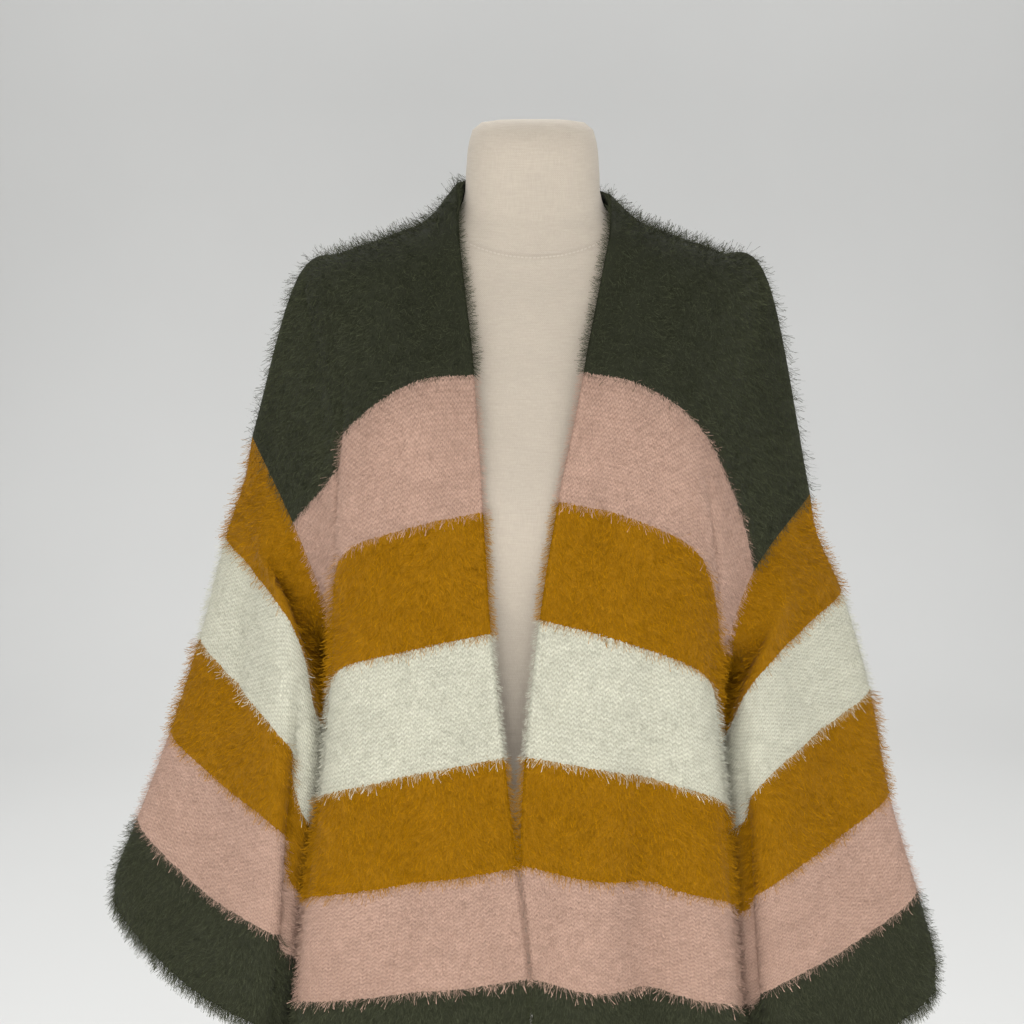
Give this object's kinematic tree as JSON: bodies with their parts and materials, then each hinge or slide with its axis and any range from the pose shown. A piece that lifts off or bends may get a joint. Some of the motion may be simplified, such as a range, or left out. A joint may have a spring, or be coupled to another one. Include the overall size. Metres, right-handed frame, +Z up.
{
  "type": "cardigan and dress form",
  "caption": "An open-front cardigan of fluffy striped knit with wide drop-shoulder sleeves, hanging on a limbless linen dress form with a pole and a round base",
  "frame": {"origin": "centre of the base's underside", "axes": "+Z up along the pole, the front of the cardigan faces -Y, the wearer's right side is at -X"},
  "size_m": [0.8591, 0.4, 1.484],
  "materials": {
    "striped_knit_front": "fluffy",
    "striped_knit_back": "fluffy",
    "striped_knit_sleeve": "fluffy",
    "linen_cover": "matte",
    "painted_steel": "satin"
  },
  "bodies": {
    "root": {"cardigan_front_right": "striped_knit_front", "cardigan_front_left": "striped_knit_front", "cardigan_back": "striped_knit_back", "cardigan_sleeve_right": "striped_knit_sleeve", "cardigan_sleeve_left": "striped_knit_sleeve", "form_torso": "linen_cover", "form_pole": "painted_steel", "form_base": "painted_steel"}
  },
  "joints": []
}
